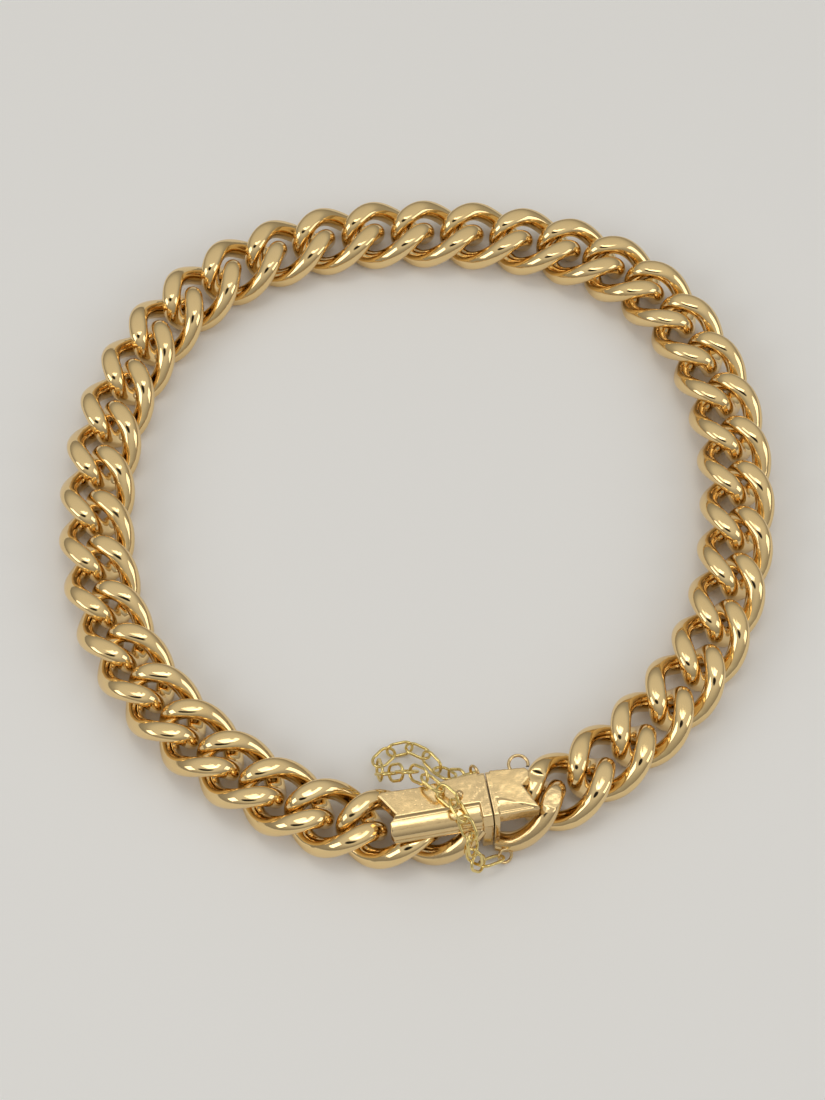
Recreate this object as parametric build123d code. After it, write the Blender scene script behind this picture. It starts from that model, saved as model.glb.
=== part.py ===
"""Curb link bracelet, closed by a box clasp with a safety chain over it.

Millimetres, +Z up. The bracelet lies on the floor; its origin ends up under the middle of
its outline. Headings are degrees anticlockwise from +X, seen from above.
"""
from build123d import *

import os
from math import atan2, cos, degrees, hypot, pi, radians, sin, sqrt

# The curb links. All but the pitch are shares of the pitch, so that the chain still links
# up at another size.
pitch = 4.95  # from one link's centre to the next
wire_share = 0.374  # thickness of the round wire
eye_share = 0.697  # clear width across a link's eye
end_gap_share = 0.065  # between the two links whose ends meet in one eye
end_fullness_share = 0.034  # how much squarer than an ellipse the ends are
side_fullness_share = 0.047  # and the sides
filed_share = 0.060  # depth of the flats filed across the high and low points
twist = 69.0  # how far each end is turned out of the link's middle plane, degrees

# The clasp, in its own frame: X along the bracelet, Y towards the wrist.
case_height = 1.70  # the box, from its underside to its flat top
crease_depth = 0.22  # the groove between the flat top and the rounded front
mouth_width = 0.95  # length of the box's collar
strip_width = 0.55  # length of the tongue half's collar
fit_gap = 0.10  # between pieces that only touch in the real clasp
tongue_length = 5.0  # how far the hidden tongue reaches into the box
tongue_width = 2.2
tongue_thickness = 0.5
bead_radius = 0.36

# The safety chain.
fine_wire = 0.28
fine_length = 2.60  # outside length of a fine link
fine_width = 1.75
fine_play = 0.36  # room between a fine link and its neighbour, at each end
fine_gap = 0.10  # between a fine link and the ring that it hangs in
fine_roll = 45.0  # fine links are turned this far to one side and the other
eye_radius = 0.62  # of the soldered rings that the chain is fastened to, at mid wire

link_count = 38

# The lie of the bracelet, read off the photo: link number, centre and heading of the link.
# The links between are placed on a smooth curve through these.
ROUTE = [
    (1, -2.05, -29.50, 177.5),
    (2, -6.80, -28.65, 165.0),
    (3, -11.25, -26.80, 153.5),
    (5, -19.15, -21.30, 138.5),
    (8, -27.60, -9.60, 112.0),
    (11, -30.10, 5.00, 90.0),
    (14, -26.95, 19.90, 65.0),
    (17, -16.95, 31.20, 30.0),
    (20, -2.50, 35.15, 3.0),
    (23, 12.45, 34.00, -13.0),
    (26, 24.75, 26.80, -51.5),
    (29, 30.50, 13.20, -81.0),
    (32, 30.35, -1.65, -99.0),
    (35, 24.80, -15.40, -127.0),
    (36, 21.60, -19.25, -135.5),
    (37, 17.85, -22.60, -143.5),
    (38, 13.85, -25.45, -150.5),
]
route_pitch = 4.95  # the pitch that the route was read at

# The clasp's joint line in the same plan, and the way the clasp points.
CLASP_AT = (6.49, -26.68)
CLASP_HEADING = 10.5

# The safety chain's lie in the clasp's frame: x, y and height of its middle.
FINE_ROUTE = [
    (0.32, -5.13, 1.02),
    (-0.50, -5.34, 1.00),
    (-1.18, -5.52, 1.27),
    (-1.74, -5.66, 1.88),
    (-2.08, -5.72, 2.80),
    (-2.18, -5.52, 4.05),
    (-2.26, -5.02, 5.30),
    (-2.45, -4.15, 6.40),
    (-2.80, -3.05, 7.00),
    (-3.30, -1.66, 7.08),
    (-4.12, -0.45, 7.08),
    (-4.94, 0.61, 7.16),
    (-5.92, 1.78, 6.50),
    (-6.90, 2.72, 5.20),
    (-7.80, 3.38, 3.75),
    (-8.45, 4.00, 2.50),
    (-8.72, 4.78, 1.58),
    (-8.56, 5.66, 1.14),
    (-7.92, 6.32, 0.97),
    (-7.00, 6.70, 0.92),
    (-5.95, 6.72, 0.92),
    (-5.00, 6.32, 0.92),
    (-4.32, 5.60, 0.92),
    (-3.80, 4.74, 0.98),
    (-3.28, 3.90, 1.15),
    (-2.75, 3.20, 1.55),
    (-2.20, 2.67, 2.12),
    (-1.68, 2.30, 2.86),
    (-1.28, 2.04, 3.66),
    (-0.98, 1.70, 4.45),
]

# Sizes that follow from those above.
scale = pitch / route_pitch
wire = wire_share * pitch
radius = wire / 2
half_length = pitch - radius - end_gap_share * pitch / 2
half_width = (eye_share * pitch + wire) / 2
end_fullness = end_fullness_share * pitch
side_fullness = side_fullness_share * pitch
filed = filed_share * pitch
along = half_length - end_fullness
across = half_width + side_fullness


def centreline(u):
    """Point and direction of a link's centreline; u runs once round, in radians."""
    x = along * cos(u) + end_fullness * cos(3 * u)
    y = across * sin(u) + side_fullness * sin(3 * u)
    dx = -along * sin(u) - 3 * end_fullness * sin(3 * u)
    dy = across * cos(u) + 3 * side_fullness * cos(3 * u)
    turn = -radians(twist) * x / half_length
    dturn = -radians(twist) * dx / half_length
    point = Vector(x, y * cos(turn), y * sin(turn))
    way = Vector(
        dx,
        dy * cos(turn) - y * sin(turn) * dturn,
        dy * sin(turn) + y * cos(turn) * dturn,
    )
    return point, way.normalized()


rise = max(centreline(2 * pi * i / 360)[0].Z for i in range(360))
thickness = 2 * (rise + radius - filed)  # of a finished link, floor to top
middle = thickness / 2
case_floor = thickness + fit_gap  # the box lies over its neighbours
top = case_floor + case_height


def arcs_between(p0, t0, p1, t1):
    """Two circular arcs that leave p0 along t0 and reach p1 along t1."""
    v = p1 - p0
    t = t0 + t1
    bend = 2 * (1 - t0.dot(t1))
    d = (sqrt(v.dot(t) ** 2 + bend * v.dot(v)) - v.dot(t)) / bend
    joint = (p0 + t0 * d + p1 - t1 * d) * 0.5
    way = (p1 - t1 * d - p0 - t0 * d).normalized()
    return [
        Edge.make_tangent_arc(p0, t0, joint),
        Edge.make_tangent_arc(joint, way, p1),
    ]


def round_bar(edge, r):
    """Round wire of radius r along an edge."""
    start = Plane(origin=edge.position_at(0), z_dir=edge.tangent_at(0))
    return sweep(start * Circle(r), path=edge).solid()


def curb_link(r, stations=8):
    """The unfiled link, made of wire of radius r."""
    knots = [centreline(2 * pi * (i + 0.5) / stations) for i in range(stations)]
    bars = []
    for i in range(stations):
        p0, t0 = knots[i]
        p1, t1 = knots[(i + 1) % stations]
        bars += [round_bar(edge, r) for edge in arcs_between(p0, t0, p1, t1)]
    return bars[0].fuse(*bars[1:]).solid()


def block(x0, x1, y0, y1, z0, z1):
    """A box between six limits."""
    at = Location(((x0 + x1) / 2, (y0 + y1) / 2, (z0 + z1) / 2))
    return at * Box(x1 - x0, y1 - y0, z1 - z0)


def prism(points, z0, z1):
    """An upright prism over a plan given as points."""
    face = make_face(Polyline(*points, close=True))
    return extrude(Pos(0, 0, z0) * face, z1 - z0)


def route_at(n):
    """Centre and heading of link n, from the smooth curve through the route."""
    i = next(i for i in range(1, len(ROUTE)) if n <= ROUTE[i][0])
    n0, x0, y0, h0 = ROUTE[i - 1]
    n1, x1, y1, h1 = ROUTE[i]
    w = (n - n0) / (n1 - n0)
    half_turn = radians(h0 - h1) / 2
    pull = hypot(x1 - x0, y1 - y0) * half_turn / sin(half_turn)
    place = (2 * w**3 - 3 * w**2 + 1, w**3 - 2 * w**2 + w, 3 * w**2 - 2 * w**3, w**3 - w**2)
    slope = (6 * w**2 - 6 * w, 3 * w**2 - 4 * w + 1, 6 * w - 6 * w**2, 3 * w**2 - 2 * w)
    xs = (x0, pull * cos(radians(h0)), x1, pull * cos(radians(h1)))
    ys = (y0, pull * sin(radians(h0)), y1, pull * sin(radians(h1)))
    x = scale * sum(a * b for a, b in zip(place, xs))
    y = scale * sum(a * b for a, b in zip(place, ys))
    dx = sum(a * b for a, b in zip(slope, xs))
    dy = sum(a * b for a, b in zip(slope, ys))
    return x, y, degrees(atan2(dy, dx))


def on_route(n):
    """Where link n lies."""
    x, y, heading = route_at(n)
    return Location((x, y, middle), (0, 0, heading))


# One link, filed flat above and below.
flat = 4 * half_length
unfiled = curb_link(radius)
bounds = block(-flat, flat, -flat, flat, -middle, middle)
link = (unfiled & bounds).solid()
swollen = curb_link(radius + fit_gap)

pieces = {}
for n in range(1, link_count + 1):
    pieces[f"link_{n:02d}"] = on_route(n) * link

# The clasp is built in its own frame and placed at the end.
clasp = Location((CLASP_AT[0] * scale, CLASP_AT[1] * scale, 0), (0, 0, CLASP_HEADING))
beside_box = (clasp.inverse() * on_route(1)) * swollen
beside_tongue = (clasp.inverse() * on_route(link_count)) * swollen
box_loop = Location((-4.00 * scale, -1.60 * scale, middle), (0, 0, 179.0)) * unfiled
tongue_loop = Location((2.60 * scale, -1.30 * scale, middle), (0, 0, 196.5)) * link
far = 40.0


def fine_link():
    """One link of the safety chain, lying in its XY plane along X."""
    r = fine_wire / 2
    turn = fine_width / 2 - r
    reach = fine_length / 2 - r - turn
    ends = [
        Edge.make_tangent_arc((reach, -turn, 0), (1, 0, 0), (reach, turn, 0)),
        Edge.make_tangent_arc((-reach, turn, 0), (-1, 0, 0), (-reach, -turn, 0)),
    ]
    sides = [
        Edge.make_line((reach, turn, 0), (-reach, turn, 0)),
        Edge.make_line((-reach, -turn, 0), (reach, -turn, 0)),
    ]
    bars = [round_bar(edge, r) for edge in ends + sides]
    return bars[0].fuse(*bars[1:]).solid()


# The fine links follow the chain's lie at equal steps, turned to one side and the other.
fine_pitch = fine_length - 2 * fine_wire - fine_play
lie = Spline(
    *[Vector(x * scale, y * scale, z * scale) for x, y, z in FINE_ROUTE],
)
fine_count = round(lie.length / fine_pitch)


def beside_lie(w, nudge, up, roll):
    """A place at w of the way along the lie, moved on by nudge and turned about the lie."""
    way = lie.tangent_at(w)
    frame = Plane(origin=lie.position_at(w) + way * nudge, x_dir=way, z_dir=up)
    return frame.location * Rot(roll, 0, 0)


# Each link is turned a quarter against the one before; "up" is carried along the lie.
master = fine_link()
fine_links = []
roll = fine_roll
up = Vector(0, 0, 1)
ups = []
for i in range(fine_count):
    w = (i + 0.5) / fine_count
    way = lie.tangent_at(w)
    up = (up - way * up.dot(way)).normalized()
    ups.append(up)
    fine_links.append(clasp * (beside_lie(w, 0, up, roll) * master))
    roll = roll - 90 if roll > 0 else roll + 90
pieces["safety_chain"] = Compound(children=fine_links)

# A ring at each end takes the place of the next link.
hook = fine_length / 2 - 1.5 * fine_wire - fine_gap + eye_radius
eye = Torus(eye_radius, fine_wire / 2)
half_step = 0.5 / fine_count
front_ring = beside_lie(half_step, -hook, ups[0], fine_roll - 90) * eye
left_ring = beside_lie(1 - half_step, hook, ups[-1], roll) * eye

# The collar's outline, looking along the bracelet: upright behind, sloping out in front.
back = 1.07 * scale
front = -3.13 * scale
foot = -3.90 * scale
low = 0.35


def collar(x0, x1):
    """The collar's solid between two stations."""
    outline = Polyline(
        (x0, back - 0.25, top),
        (x0, front, top),
        (x0, front - 0.55, top - 0.9),
        (x0, foot, low + 0.8),
        (x0, foot + 0.6, low),
        (x0, back - 0.7, low),
        (x0, back, low + 0.8),
        (x0, back, top - 0.3),
        close=True,
    )
    return extrude(make_face(outline), amount=x1 - x0, dir=(1, 0, 0))


# The box: a flat top with a swallow-tailed end, and a rounded front below a crease.
crease = -1.86 * scale
rim = -3.60 * scale
plan = [
    (-mouth_width, back),
    (-3.05 * scale, 0.92 * scale),
    (-6.00 * scale, 0.64 * scale),
    (-9.20 * scale, 0.74 * scale),
    (-9.62 * scale, 0.52 * scale),
    (-8.34 * scale, -1.48 * scale),
    (-8.95 * scale, -2.13 * scale),
    (-9.05 * scale, -3.08 * scale),
    (-8.75 * scale, rim),
    (-mouth_width, rim),
]
lobe = (crease - rim) / 2
profile = Polyline(
    (-far, back + 1, case_floor),
    (-far, back + 1, top),
    (-far, crease + 0.16, top),
    (-far, crease, top - crease_depth),
)
nose = ThreePointArc(
    (-far, crease, top - crease_depth),
    (-far, crease - 1.25 * lobe, top - 0.38 * lobe),
    (-far, rim, case_floor + 0.55),
)
under = Polyline(
    (-far, rim, case_floor + 0.55),
    (-far, rim, case_floor),
    (-far, back + 1, case_floor),
)
section = extrude(make_face([*profile.edges(), nose, *under.edges()]), amount=2 * far, dir=(1, 0, 0))
case = prism(plan, case_floor, top) & section

pocket_y = -0.63 * scale
pocket = block(
    -tongue_length - 0.3,
    1.0,
    pocket_y - tongue_width / 2 - 0.15,
    pocket_y + tongue_width / 2 + 0.15,
    case_floor + 0.40,
    case_floor + 0.40 + tongue_thickness + 0.30,
)
bead_at = (-2.60 * scale, -0.78 * scale)
stem = 0.20
hole = Pos(bead_at[0], bead_at[1], top) * Cylinder(stem + 0.08, 2 * case_height)
hole = hole & block(-far, far, -far, far, case_floor + 0.40, top + 1)

under_case = block(-far, -0.5, -far, far, 0, case_floor + 0.15)
mouth = collar(-mouth_width, -fit_gap / 2)
box_body = case + mouth + (box_loop & under_case)
box_body = box_body + left_ring
box_body = box_body - pocket - hole - beside_box
box_body = max(box_body.solids(), key=lambda s: s.volume)

# The tongue half: a collar strip, a flat block with a notch and a raised, tapering point.
tongue_plan = [
    (strip_width - 0.1, back),
    (3.55 * scale, 0.80 * scale),
    (3.85 * scale, 0.47 * scale),
    (3.76 * scale, -0.18 * scale),
    (3.02 * scale, -0.76 * scale),
    (4.13 * scale, -3.19 * scale),
    (strip_width - 0.1, -3.23 * scale),
]
deck = prism(tongue_plan, case_floor, top)
hollow = prism(
    [
        (strip_width, -1.53 * scale),
        (strip_width, -4.0 * scale),
        (4.6 * scale, -4.0 * scale),
        (4.20 * scale, -3.19 * scale),
    ],
    top - 0.28,
    top + 1,
)
drop = prism(
    [
        (strip_width + 0.12, -1.60 * scale),
        (strip_width + 0.12, -3.10 * scale),
        (4.00 * scale, -3.14 * scale),
    ],
    top - 0.4,
    top + 0.12,
)
ridge = chamfer(drop.faces().sort_by(Axis.Z)[-1].edges(), 0.2)
strip = collar(fit_gap / 2, strip_width)
past_joint = block(fit_gap / 2 + 0.02, far, -far, far, -1, top)
blade = block(
    -tongue_length,
    strip_width,
    pocket_y - tongue_width / 2,
    pocket_y + tongue_width / 2,
    case_floor + 0.55,
    case_floor + 0.55 + tongue_thickness,
)
tongue_body = (deck - hollow) + ridge + strip + (tongue_loop & past_joint)
right_ring = Pos(3.15 * scale, back + 0.35, top - 0.6) * Torus(0.85, 0.15)
tongue_body = tongue_body + right_ring + front_ring
tongue_body = tongue_body - beside_tongue
tongue_body = max(tongue_body.solids(), key=lambda s: s.volume) + blade
tongue_body = max(tongue_body.solids(), key=lambda s: s.volume)

# The release bead stands on a stem that ends just above the blade.
stem_foot = case_floor + 0.55 + tongue_thickness + 0.06
bead = Pos(*bead_at, top + 0.8 * bead_radius + 0.04) * Sphere(bead_radius)
bead_stem = Cylinder(stem, top + 0.3 - stem_foot, align=(Align.CENTER, Align.CENTER, Align.MIN))
bead = (bead + Pos(*bead_at, stem_foot) * bead_stem).solid()

pieces["clasp_box"] = clasp * box_body
pieces["clasp_tongue"] = clasp * tongue_body
pieces["push_bead"] = clasp * bead


# The origin goes under the middle of the whole outline; the links already stand on Z = 0.
whole = Compound(list(pieces.values())).bounding_box()
shift = Pos(-whole.center().X, -whole.center().Y, 0)

os.makedirs("parts", exist_ok=True)
for name, shape in pieces.items():
    export_step(shift * shape, f"parts/{name}.step")
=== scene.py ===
"""Looks of the curb link bracelet: polished gold links, box clasp and fine safety chain."""
from math import atan2, cos, hypot, pi, radians, sin

import bmesh
import bpy
import numpy as np
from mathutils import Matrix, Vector


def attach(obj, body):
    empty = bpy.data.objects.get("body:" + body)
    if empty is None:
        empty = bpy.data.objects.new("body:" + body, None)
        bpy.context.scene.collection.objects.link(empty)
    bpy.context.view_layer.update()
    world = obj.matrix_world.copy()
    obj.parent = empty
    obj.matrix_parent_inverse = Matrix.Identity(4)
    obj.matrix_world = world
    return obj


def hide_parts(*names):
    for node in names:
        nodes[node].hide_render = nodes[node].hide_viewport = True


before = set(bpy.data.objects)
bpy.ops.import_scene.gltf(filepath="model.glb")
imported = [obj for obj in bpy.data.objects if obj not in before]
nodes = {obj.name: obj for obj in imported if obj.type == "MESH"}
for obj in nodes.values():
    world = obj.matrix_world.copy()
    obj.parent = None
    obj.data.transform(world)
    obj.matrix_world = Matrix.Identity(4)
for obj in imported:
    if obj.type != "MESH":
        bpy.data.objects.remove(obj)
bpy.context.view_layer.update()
MM = 0.001

# The links' sizes, all shares of the pitch, as in the part's source (millimetres).
PITCH = 4.95
WIRE = 0.374 * PITCH
RADIUS = WIRE / 2
END_GAP = 0.065 * PITCH
HALF_LENGTH = PITCH - RADIUS - END_GAP / 2
EYE_WIDTH = 0.697 * PITCH
HALF_WIDTH = (EYE_WIDTH + WIRE) / 2
END_FULLNESS = 0.034 * PITCH
SIDE_FULLNESS = 0.047 * PITCH
FILED = 0.060 * PITCH
TWIST = radians(69.0)
# The chain's lie: a link's number, its centre and its heading (degrees).
ROUTE = [
    (1, -2.05, -29.50, 177.5),
    (2, -6.80, -28.65, 165.0),
    (3, -11.25, -26.80, 153.5),
    (5, -19.15, -21.30, 138.5),
    (8, -27.60, -9.60, 112.0),
    (11, -30.10, 5.00, 90.0),
    (14, -26.95, 19.90, 65.0),
    (17, -16.95, 31.20, 30.0),
    (20, -2.50, 35.15, 3.0),
    (23, 12.45, 34.00, -13.0),
    (26, 24.75, 26.80, -51.5),
    (29, 30.50, 13.20, -81.0),
    (32, 30.35, -1.65, -99.0),
    (35, 24.80, -15.40, -127.0),
    (36, 21.60, -19.25, -135.5),
    (37, 17.85, -22.60, -143.5),
    (38, 13.85, -25.45, -150.5),
]
LINK_COUNT = 38
# From the plan that the route is given in to the frame's origin.
SHIFT = (-0.440, -2.658)

# The clasp, in its own frame: X along the bracelet, Y towards the wrist.
CLASP_AT = (6.49 + SHIFT[0], -26.68 + SHIFT[1])
CLASP_TURN = radians(10.5)
CASE_HEIGHT = 1.70
CREASE_DEPTH = 0.22
MOUTH_WIDTH = 0.95
STRIP_WIDTH = 0.55
FIT_GAP = 0.10


def centreline(u):
    """Points of a link's centreline, in millimetres, in the link's own frame."""
    x = (HALF_LENGTH - END_FULLNESS) * np.cos(u) + END_FULLNESS * np.cos(3 * u)
    y = (HALF_WIDTH + SIDE_FULLNESS) * np.sin(u) + SIDE_FULLNESS * np.sin(3 * u)
    turn = -TWIST * x / HALF_LENGTH
    return np.stack([x, y * np.cos(turn), y * np.sin(turn)], axis=-1)


# How thick the filed links are, and the heights that the clasp is built from.
RISE = centreline(np.linspace(0, 2 * pi, 721))[:, 2].max()
THICKNESS = 2 * (RISE + RADIUS - FILED)
MIDDLE = THICKNESS / 2
CASE_FLOOR = THICKNESS + FIT_GAP
TOP = CASE_FLOOR + CASE_HEIGHT
# Where the collar's outline turns in Y, and its lowest point.
BACK, FRONT, FOOT, LOW = 1.07, -3.13, -3.90, 0.35
# The box's crease and the front edge of its rounded part.
CREASE, RIM = -1.86, -3.60


def route_at(n):
    """Centre and heading of link n."""
    i = next(i for i in range(1, len(ROUTE)) if n <= ROUTE[i][0])
    n0, x0, y0, h0 = ROUTE[i - 1]
    n1, x1, y1, h1 = ROUTE[i]
    w = (n - n0) / (n1 - n0)
    half_turn = radians(h0 - h1) / 2
    pull = hypot(x1 - x0, y1 - y0) * half_turn / sin(half_turn)
    place = (2 * w**3 - 3 * w**2 + 1, w**3 - 2 * w**2 + w, 3 * w**2 - 2 * w**3, w**3 - w**2)
    slope = (6 * w**2 - 6 * w, 3 * w**2 - 4 * w + 1, 6 * w - 6 * w**2, 3 * w**2 - 2 * w)
    xs = (x0, pull * cos(radians(h0)), x1, pull * cos(radians(h1)))
    ys = (y0, pull * sin(radians(h0)), y1, pull * sin(radians(h1)))
    x = sum(a * b for a, b in zip(place, xs)) + SHIFT[0]
    y = sum(a * b for a, b in zip(place, ys)) + SHIFT[1]
    dx = sum(a * b for a, b in zip(slope, xs))
    dy = sum(a * b for a, b in zip(slope, ys))
    return x, y, atan2(dy, dx)


def tube(points, radius, sides):
    """Vertices and faces of a closed round tube along closed points."""
    # Carry a side direction along the points. What it has turned by at the end is then spread
    # evenly, so that the last ring meets the first.
    m = len(points)
    ahead = np.roll(points, -1, axis=0) - np.roll(points, 1, axis=0)
    ahead /= np.linalg.norm(ahead, axis=1)[:, None]
    side = np.zeros_like(points)
    s = np.cross(ahead[0], [0.0, 0.0, 1.0])
    side[0] = s / np.linalg.norm(s)
    for i in range(1, m):
        s = side[i - 1] - ahead[i] * side[i - 1].dot(ahead[i])
        side[i] = s / np.linalg.norm(s)
    last = side[-1] - ahead[0] * side[-1].dot(ahead[0])
    last /= np.linalg.norm(last)
    over = np.cross(ahead[0], side[0])
    drift = atan2(last.dot(over), last.dot(side[0]))
    verts = []
    for i in range(m):
        a = -drift * i / m
        up = np.cross(ahead[i], side[i])
        s = side[i] * cos(a) + up * sin(a)
        t = np.cross(ahead[i], s)
        v = np.linspace(0, 2 * pi, sides, endpoint=False)[:, None]
        verts.append(points[i] + radius * (np.cos(v) * s + np.sin(v) * t))
    faces = []
    for i in range(m):
        j = (i + 1) % m
        for k in range(sides):
            q = (k + 1) % sides
            faces.append((i * sides + k, j * sides + k, j * sides + q, i * sides + q))
    return np.concatenate(verts), faces


def add_mesh(name, verts, faces, material):
    """A smooth-shaded piece that rides on the one body."""
    mesh = bpy.data.meshes.new(name)
    mesh.from_pydata([tuple(v) for v in verts], [], faces)
    mesh.validate()
    mesh.polygons.foreach_set("use_smooth", [True] * len(mesh.polygons))
    piece = bpy.data.objects.new(name, mesh)
    bpy.context.scene.collection.objects.link(piece)
    mesh.materials.append(material)
    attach(piece, "root")
    return piece


def add_node(tree, kind, **values):
    """A shader node with its inputs set. An underscore in a name stands for a space."""
    node = tree.nodes.new(kind)
    for name, value in values.items():
        node.inputs[name.replace("_", " ")].default_value = value
    return node


def bump(tree, height, below, strength, distance):
    """A bump of a height output, laid over the bump below it."""
    node = add_node(tree, "ShaderNodeBump", Strength=strength, Distance=distance)
    tree.links.new(height, node.inputs["Height"])
    if below is not None:
        tree.links.new(below.outputs["Normal"], node.inputs["Normal"])
    return node


# The marks in the gold: noise scales are per metre and heights in metres, the pits' radii are
# shares of a cell, and the dull patches are this many times rougher.
PATCH_SCALE = 260.0
SCRATCH_TURN = (0.3, 0.2, 0.9)
SCRATCH_SCALE = (900.0, 9000.0, 3500.0)
SCRATCH_STRENGTH, SCRATCH_HEIGHT = 0.05, 0.00002
DENT_SCALE, DENT_HEIGHT = 900.0, 0.0001
PIT_SCALE, PIT_HEIGHT = 2600.0, 0.00004
PIT_RADII = (0.04, 0.16)
DULL_PATCHES = 1.9


def gold(name, light, deep, rough, seed, dent=0.10, pits=0.0):
    """Polished gold with fine scratches, soft dents, pits and slightly uneven polish."""
    material = bpy.data.materials.new(name)
    material.use_nodes = True
    tree = material.node_tree
    link = tree.links.new
    shader = tree.nodes["Principled BSDF"]
    shader.inputs["Metallic"].default_value = 1.0
    where = add_node(tree, "ShaderNodeTexCoord").outputs["Object"]
    patches = add_node(tree, "ShaderNodeTexNoise", Scale=PATCH_SCALE + seed, Detail=3.0)
    link(where, patches.inputs["Vector"])
    mix = add_node(tree, "ShaderNodeMix")
    mix.data_type = "RGBA"
    mix.inputs["A"].default_value = (*light, 1)
    mix.inputs["B"].default_value = (*deep, 1)
    link(patches.outputs["Fac"], mix.inputs["Factor"])
    link(mix.outputs["Result"], shader.inputs["Base Color"])
    polish = add_node(tree, "ShaderNodeMapRange", From_Min=0.35, From_Max=0.75)
    polish.inputs["To Min"].default_value = rough
    polish.inputs["To Max"].default_value = rough * DULL_PATCHES
    link(patches.outputs["Fac"], polish.inputs["Value"])
    link(polish.outputs["Result"], shader.inputs["Roughness"])
    stretch = add_node(tree, "ShaderNodeMapping", Rotation=SCRATCH_TURN, Scale=SCRATCH_SCALE)
    link(where, stretch.inputs["Vector"])
    scratches = add_node(tree, "ShaderNodeTexNoise", Scale=1.0, Detail=4.0)
    link(stretch.outputs["Vector"], scratches.inputs["Vector"])
    dents = add_node(tree, "ShaderNodeTexNoise", Scale=DENT_SCALE, Detail=1.5)
    link(where, dents.inputs["Vector"])
    last = bump(tree, scratches.outputs["Fac"], None, SCRATCH_STRENGTH, SCRATCH_HEIGHT)
    last = bump(tree, dents.outputs["Fac"], last, dent, DENT_HEIGHT)
    if pits:
        cells = add_node(tree, "ShaderNodeTexVoronoi", Scale=PIT_SCALE, Randomness=1.0)
        link(where, cells.inputs["Vector"])
        inner, outer = PIT_RADII
        spots = add_node(tree, "ShaderNodeMapRange", From_Min=inner, From_Max=outer)
        link(cells.outputs["Distance"], spots.inputs["Value"])
        last = bump(tree, spots.outputs["Result"], last, pits, PIT_HEIGHT)
    link(last.outputs["Normal"], shader.inputs["Normal"])
    return material


link_gold = gold("link_gold", (0.91, 0.69, 0.36), (0.85, 0.61, 0.28), rough=0.065, seed=0)
clasp_gold = gold(
    "clasp_gold",
    (0.84, 0.63, 0.34),
    (0.76, 0.55, 0.26),
    rough=0.10,
    seed=40,
    dent=0.20,
    pits=0.10,
)
chain_gold = gold("chain_gold", (0.88, 0.71, 0.30), (0.78, 0.60, 0.22), rough=0.12, seed=90)

# One link, laid out once: round wire, its high and low points filed flat and the flats' edges
# worn round.
STATIONS, SIDES = 132, 30
WORN_EDGE = 0.34


def filed_flat(z):
    """Height after filing and years of wear: nearly flat, with soft edges."""
    over = np.abs(z) - MIDDLE
    soft = 0.5 * (over - np.sqrt(over**2 + WORN_EDGE**2))
    return np.sign(z) * (MIDDLE + soft)


turns = np.linspace(0, 2 * pi, STATIONS, endpoint=False)
shape, quads = tube(centreline(turns), RADIUS, SIDES)
shape[:, 2] = filed_flat(shape[:, 2])

# A small facet filed on the last link beside the clasp: its place in the clasp's frame, the
# way it faces, and how far it reaches at most. Its depth is measured from the highest point
# within the core's share of the reach, and it fades out over the reach's last quarter.
FACET_AT = (5.02, 1.30, 4.15)
FACET_FACING = (-0.08, -0.35, 0.933)
FACET_REACH = 1.1
FACET_DEPTH = 0.13
FACET_CORE = 0.6
FACET_FADE = 0.25


def in_place(points):
    """Points of the clasp's frame, in millimetres, to the bracelet's frame in metres."""
    c, s = cos(CLASP_TURN), sin(CLASP_TURN)
    out = np.empty_like(points)
    out[:, 0] = (CLASP_AT[0] + c * points[:, 0] - s * points[:, 1]) * MM
    out[:, 1] = (CLASP_AT[1] + s * points[:, 0] + c * points[:, 1]) * MM
    out[:, 2] = points[:, 2] * MM
    return out


def file_facet(points):
    """Press the points that stand out over the facet down to its plane."""
    way = np.array(FACET_FACING) / np.linalg.norm(FACET_FACING)
    offset = points - in_place(np.array([FACET_AT]))
    near = np.linalg.norm(offset, axis=1) / (FACET_REACH * MM)
    height = offset @ way
    over = height - height[near < FACET_CORE].max() + FACET_DEPTH * MM
    pressed = (over > 0) & (near < 1)
    fade = np.clip((1 - near[pressed]) / FACET_FADE, 0, 1)
    points[pressed] -= (over[pressed] * fade)[:, None] * way


for number in range(1, LINK_COUNT + 1):
    x, y, heading = route_at(number)
    c, s = cos(heading), sin(heading)
    placed = np.empty_like(shape)
    placed[:, 0] = (x + c * shape[:, 0] - s * shape[:, 1]) * MM
    placed[:, 1] = (y + s * shape[:, 0] + c * shape[:, 1]) * MM
    placed[:, 2] = (shape[:, 2] + MIDDLE) * MM
    if number == LINK_COUNT:
        file_facet(placed)
    piece = add_mesh(f"curb_{number:02d}", placed, quads, link_gold)
    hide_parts(f"link_{number:02d}")


def closed(rings):
    """A closed mesh through rings of points of equal length, in millimetres."""
    mesh = bpy.data.meshes.new("rough")
    m = len(rings[0])
    verts = [p for ring in rings for p in ring]
    faces = [tuple(range(m)), tuple(reversed(range((len(rings) - 1) * m, len(rings) * m)))]
    for i in range(len(rings) - 1):
        for k in range(m):
            q = (k + 1) % m
            faces.append((i * m + k, (i + 1) * m + k, (i + 1) * m + q, i * m + q))
    mesh.from_pydata(verts, [], faces)
    work = bmesh.new()
    work.from_mesh(mesh)
    bmesh.ops.recalc_face_normals(work, faces=work.faces)
    work.to_mesh(mesh)
    work.free()
    rough = bpy.data.objects.new("rough", mesh)
    bpy.context.scene.collection.objects.link(rough)
    return rough


def prism(plan, z0, z1):
    """An upright prism over a plan."""
    return closed([[(x, y, z) for x, y in plan] for z in (z0, z1)])


def bar(outline, x0, x1):
    """A bar along X with an outline in Y and Z."""
    return closed([[(x, y, z) for y, z in outline] for x in (x0, x1)])


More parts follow.
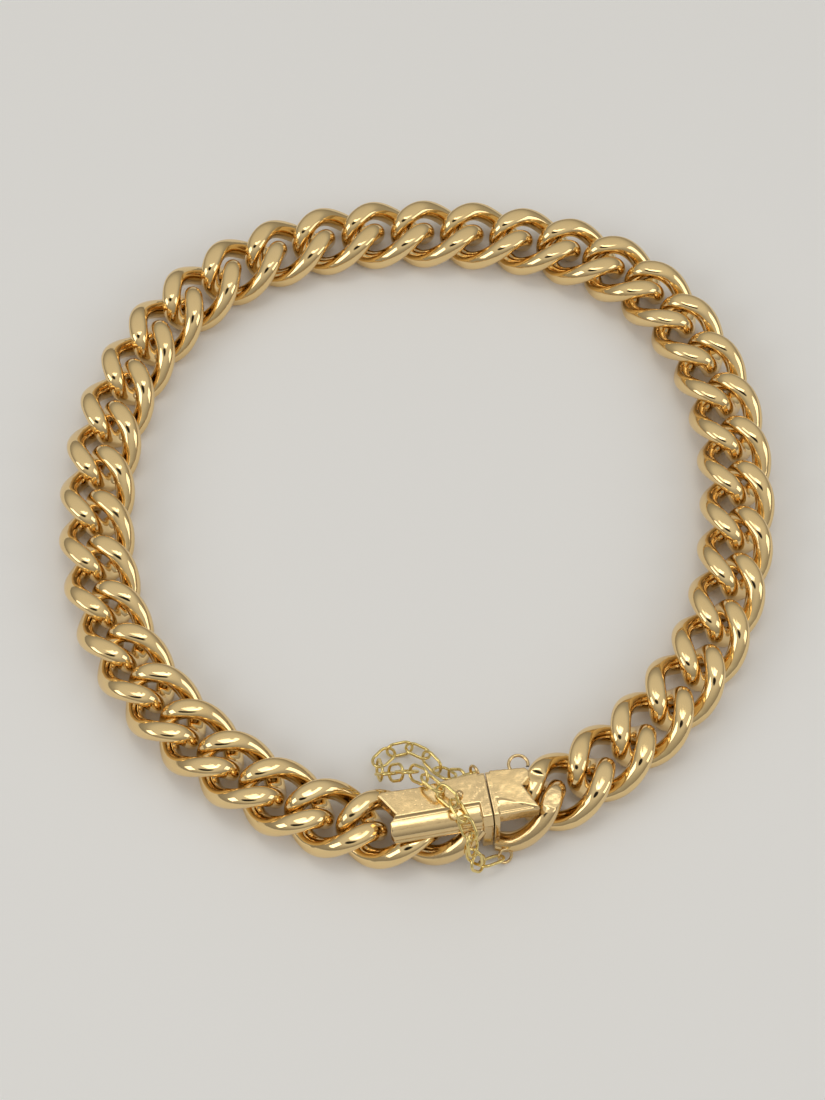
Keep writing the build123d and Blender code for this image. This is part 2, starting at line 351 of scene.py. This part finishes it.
def cut(base, tool, how):
    """Keep the base where it meets the tool, or take the tool out of it."""
    change = base.modifiers.new("cut", "BOOLEAN")
    change.operation = how
    change.object = tool
    change.solver = "EXACT"
    base.data = baked(base)
    base.modifiers.clear()
    bpy.data.objects.remove(tool)
    return base


def baked(rough):
    """The mesh of an object with its modifiers worked in."""
    bpy.context.view_layer.update()
    graph = bpy.context.evaluated_depsgraph_get()
    return bpy.data.meshes.new_from_object(rough.evaluated_get(graph))


# How the clasp's edges are worn: the size of the merged mesh's cells and rounds of smoothing.
CELL = 0.05
WEAR_ROUNDS = 5


def worn(parts):
    """Vertices and faces of the parts merged, with their edges worn round."""
    verts, faces = [], []
    for part in parts:
        start = len(verts)
        verts += [tuple(v.co) for v in part.data.vertices]
        faces += [tuple(start + i for i in p.vertices) for p in part.data.polygons]
        bpy.data.objects.remove(part)
    mesh = bpy.data.meshes.new("merged")
    mesh.from_pydata(verts, [], faces)
    merged = bpy.data.objects.new("merged", mesh)
    bpy.context.scene.collection.objects.link(merged)
    remesh = merged.modifiers.new("remesh", "REMESH")
    remesh.mode = "VOXEL"
    remesh.voxel_size = CELL
    smooth = merged.modifiers.new("smooth", "SMOOTH")
    smooth.factor = 0.5
    smooth.iterations = WEAR_ROUNDS
    mesh = baked(merged)
    bpy.data.objects.remove(merged)
    points = np.empty(len(mesh.vertices) * 3)
    mesh.vertices.foreach_get("co", points)
    return points.reshape(-1, 3), [tuple(p.vertices) for p in mesh.polygons]


def wires_of(node, inside):
    """Points of a CAD node in the clasp's frame, and its faces outside the clasp's plates."""
    mesh = nodes[node].data
    points = np.empty(len(mesh.vertices) * 3)
    mesh.vertices.foreach_get("co", points)
    points = points.reshape(-1, 3)
    x = points[:, 0] / MM - CLASP_AT[0]
    y = points[:, 1] / MM - CLASP_AT[1]
    c, s = cos(CLASP_TURN), sin(CLASP_TURN)
    local = np.stack([c * x + s * y, c * y - s * x, points[:, 2] / MM], axis=-1)
    kept = []
    for face in mesh.polygons:
        corners = list(face.vertices)
        if not inside(*local[corners].mean(axis=0)):
            kept.append(tuple(corners))
    return local, kept


# A point this close to a plate counts as part of it.
SKIN = 0.01


def in_collar(x, y, z, x0, x1):
    """Whether a point lies in or on the collar between two stations."""
    if not x0 - SKIN < x < x1 + SKIN or z > TOP + SKIN or z < LOW - SKIN:
        return False
    face_heights = [LOW, LOW + 0.8, TOP - 0.9, TOP]
    rear_heights = [LOW, LOW + 0.8, TOP - 0.3, TOP]
    face = np.interp(z, face_heights, [FOOT + 0.6, FOOT, FRONT - 0.55, FRONT])
    rear = np.interp(z, rear_heights, [BACK - 0.7, BACK, BACK, BACK - 0.25])
    return face - SKIN < y < rear + SKIN


def collar(x0, x1):
    """The collar's bar between two stations."""
    outline = [
        (BACK - 0.25, TOP),
        (FRONT, TOP),
        (FRONT - 0.55, TOP - 0.9),
        (FOOT, LOW + 0.8),
        (FOOT + 0.6, LOW),
        (BACK - 0.7, LOW),
        (BACK, LOW + 0.8),
        (BACK, TOP - 0.3),
    ]
    return bar(outline, x0, x1)


# The box: a flat top with a swallow-tailed end, a crease and a rounded front.
box_plan = [
    (-MOUTH_WIDTH + 0.3, BACK),
    (-3.05, 0.92),
    (-6.00, 0.64),
    (-9.20, 0.74),
    (-9.62, 0.52),
    (-8.34, -1.48),
    (-8.95, -2.13),
    (-9.05, -3.08),
    (-8.75, RIM),
    (-MOUTH_WIDTH + 0.3, RIM),
]
# From the crease the front falls away in three bends: each one's length, and its slope at its
# start and end (degrees).
NOSE_BENDS = ((0.20, 10, -2), (0.68, -2, -12), (1.22, -12, -85))
BEND_STEPS = 12
nose = [(CREASE, TOP - CREASE_DEPTH)]
for length, slope0, slope1 in NOSE_BENDS:
    for k in range(BEND_STEPS):
        slope = radians(slope0 + (slope1 - slope0) * (k + 0.5) / BEND_STEPS)
        y, z = nose[-1]
        nose.append((y - cos(slope) * length / BEND_STEPS, z + sin(slope) * length / BEND_STEPS))
box_outline = [
    (BACK + 1, CASE_FLOOR),
    (BACK + 1, TOP),
    (CREASE + 0.16, TOP),
    *nose,
    (RIM + 0.24, CASE_FLOOR + 0.36),
    (RIM, CASE_FLOOR + 0.30),
    (RIM, CASE_FLOOR),
]
case = cut(prism(box_plan, CASE_FLOOR, TOP), bar(box_outline, -12, 2), "INTERSECT")
box_points, box_faces = worn([case, collar(-MOUTH_WIDTH, -FIT_GAP / 2)])


def in_box(x, y, z):
    """Whether a point of the box's CAD node belongs to its case or collar."""
    over = CASE_FLOOR - SKIN < z < TOP + SKIN and -9.7 < x < 0 and RIM - 2 * SKIN < y
    return (over and y < BACK + SKIN) or in_collar(x, y, z, -MOUTH_WIDTH, -FIT_GAP / 2)


# The tongue half: collar strip, notched block, and the raised point at the block's front.
tongue_plan = [
    (STRIP_WIDTH - 0.1, BACK),
    (3.55, 0.80),
    (3.85, 0.47),
    (3.76, -0.18),
    (3.02, -0.76),
    (4.13, -3.19),
    (STRIP_WIDTH - 0.1, -3.23),
]
hollow_plan = [
    (STRIP_WIDTH, -1.53),
    (STRIP_WIDTH, -4.0),
    (4.6, -4.0),
    (4.20, -3.19),
]
hollow = prism(hollow_plan, TOP - 0.16, TOP + 1)
deck = cut(prism(tongue_plan, CASE_FLOOR, TOP), hollow, "DIFFERENCE")
point_plan = [
    (STRIP_WIDTH + 0.06, -1.60),
    (STRIP_WIDTH + 0.06, -3.16),
    (4.08, -3.16),
]
# The point's swell across the bracelet: Y, and height over the flat top.
swell_outline = [
    (-1.60, -0.45),
    (-1.60, -0.10),
    (-1.70, 0.02),
    (-1.86, 0.06),
    (-2.10, 0.04),
    (-2.35, 0.00),
    (-2.60, -0.05),
    (-2.78, -0.10),
    (-2.88, -0.16),
    (-2.98, -0.12),
    (-3.08, -0.12),
    (-3.16, -0.20),
    (-3.16, -0.45),
]
swell = bar([(y, TOP + rise) for y, rise in swell_outline], STRIP_WIDTH, 4.2)
ridge = cut(prism(point_plan, TOP - 0.45, TOP + 1), swell, "INTERSECT")
tongue_points, tongue_faces = worn([deck, ridge, collar(FIT_GAP / 2, STRIP_WIDTH)])


def in_tongue(x, y, z):
    """Whether a point of the tongue's CAD node belongs to its block, strip or hidden blade."""
    over = CASE_FLOOR - SKIN < z < TOP + 0.13 and x < 4.3 and RIM < y < BACK + SKIN
    return over or x < 0 or in_collar(x, y, z, FIT_GAP / 2, STRIP_WIDTH)


# The CAD's points this near are one point, and its edges sharper than this stay sharp.
MERGE_DISTANCE = 0.002 * MM
SHARP = radians(35)

for name, points, faces, inside in (
    ("clasp_box", box_points, box_faces, in_box),
    ("clasp_tongue", tongue_points, tongue_faces, in_tongue),
):
    plates = add_mesh(f"{name}_plates", in_place(points), faces, clasp_gold)
    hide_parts(name)
    local, kept = wires_of(name, inside)
    wires = add_mesh(f"{name}_wires", in_place(local), kept, clasp_gold)
    work = bmesh.new()
    work.from_mesh(wires.data)
    bmesh.ops.remove_doubles(work, verts=work.verts, dist=MERGE_DISTANCE)
    loose = [v for v in work.verts if not v.link_faces]
    bmesh.ops.delete(work, geom=loose, context="VERTS")
    work.to_mesh(wires.data)
    work.free()
    wires.data.set_sharp_from_angle(angle=SHARP)

for name, material in (("push_bead", clasp_gold), ("safety_chain", chain_gold)):
    nodes[name].data.materials.clear()
    nodes[name].data.materials.append(material)

# The floor: pale matt paper.
FLOOR_SIZE = 2.4
PAPER = (0.93, 0.92, 0.90, 1)
bpy.ops.mesh.primitive_plane_add(size=FLOOR_SIZE, location=(0, 0, 0))
floor = bpy.context.object
floor.name = "floor"
paper = bpy.data.materials.new("floor_paper")
paper.use_nodes = True
paper_shader = paper.node_tree.nodes["Principled BSDF"]
paper_shader.inputs["Base Color"].default_value = PAPER
paper_shader.inputs["Roughness"].default_value = 0.7
floor.data.materials.append(paper)


def soft_light(name, elevation, azimuth, distance, size, power, colour):
    """An area light that looks at the bracelet from a direction (degrees, metres, watts)."""
    data = bpy.data.lights.new(name, "AREA")
    data.shape = "RECTANGLE"
    data.size, data.size_y = size
    data.energy = power
    data.color = colour
    light = bpy.data.objects.new(name, data)
    e, a = radians(elevation), radians(azimuth)
    way = Vector((cos(e) * cos(a), cos(e) * sin(a), sin(e)))
    light.location = way * distance
    light.rotation_euler = (-way).to_track_quat("-Z", "Y").to_euler()
    bpy.context.scene.collection.objects.link(light)


# Two small lights overhead give the links their cream patches, two broad ones light the sides.
TOP_SIZE, TOP_COLOUR = (0.105, 0.165), (1.0, 0.98, 0.92)
SIDE_SIZE, SIDE_COLOUR = (0.30, 0.30), (1.0, 0.99, 0.97)
soft_light("light_top_left", 79.5, 118, 0.55, TOP_SIZE, 0.092, TOP_COLOUR)
soft_light("light_top_right", 79.5, 62, 0.55, TOP_SIZE, 0.092, TOP_COLOUR)
soft_light("light_left", 32, 200, 0.60, SIDE_SIZE, 0.60, SIDE_COLOUR)
soft_light("light_right", 30, 345, 0.60, SIDE_SIZE, 0.45, SIDE_COLOUR)

# The rest of the studio: a pale tent, brighter overhead, with a dark opening high in front.
HORIZON = (0.25, 0.245, 0.24, 1)
ZENITH = (0.72, 0.71, 0.68, 1)
TENT_STOPS = ((0.45, 0.41), (0.80, 0.64))
OPENING_WAY = (-0.16, -0.27, 0.95)
OPENING_EDGE = (0.964, 0.977)
OPENING_LIGHT = 0.03
world = bpy.data.worlds.new("studio")
world.use_nodes = True
tree = world.node_tree
link = tree.links.new
way = add_node(tree, "ShaderNodeTexCoord").outputs["Generated"]
split = add_node(tree, "ShaderNodeSeparateXYZ")
link(way, split.inputs["Vector"])
tent = add_node(tree, "ShaderNodeValToRGB")
ramp = tent.color_ramp.elements
ramp[0].position, ramp[0].color = 0.0, HORIZON
ramp[1].position, ramp[1].color = 1.0, ZENITH
for height, level in TENT_STOPS:
    ramp.new(height).color = (level, level * 0.985, level * 0.95, 1)
link(split.outputs["Z"], tent.inputs["Fac"])
opening = add_node(tree, "ShaderNodeVectorMath")
opening.operation = "DOT_PRODUCT"
opening.inputs[1].default_value = OPENING_WAY
link(way, opening.inputs[0])
shade = add_node(tree, "ShaderNodeMapRange", To_Min=1.0, To_Max=OPENING_LIGHT)
shade.inputs["From Min"].default_value = OPENING_EDGE[0]
shade.inputs["From Max"].default_value = OPENING_EDGE[1]
link(opening.outputs["Value"], shade.inputs["Value"])
tinted = add_node(tree, "ShaderNodeVectorMath")
tinted.operation = "SCALE"
link(tent.outputs["Color"], tinted.inputs[0])
link(shade.outputs["Result"], tinted.inputs["Scale"])
link(tinted.outputs["Vector"], tree.nodes["Background"].inputs["Color"])
bpy.context.scene.world = world

# The camera, at the photo's angle and distance (degrees, metres, lens in millimetres).
CAMERA_ELEVATION = radians(61.49)
CAMERA_DISTANCE = 0.2214
CAMERA_LENS = 75.84
SENSOR = 36.0
target = Vector((*SHIFT, -0.323)) * MM
camera_data = bpy.data.cameras.new("camera")
camera_data.lens = CAMERA_LENS
camera_data.sensor_width = SENSOR
camera_data.clip_start = 0.01
camera = bpy.data.objects.new("camera", camera_data)
back = Vector((0, -cos(CAMERA_ELEVATION), sin(CAMERA_ELEVATION)))
camera.location = target + back * CAMERA_DISTANCE
camera.rotation_euler = (target - camera.location).to_track_quat("-Z", "Y").to_euler()
bpy.context.scene.collection.objects.link(camera)
bpy.context.scene.camera = camera
bpy.context.scene.view_settings.view_transform = "Standard"
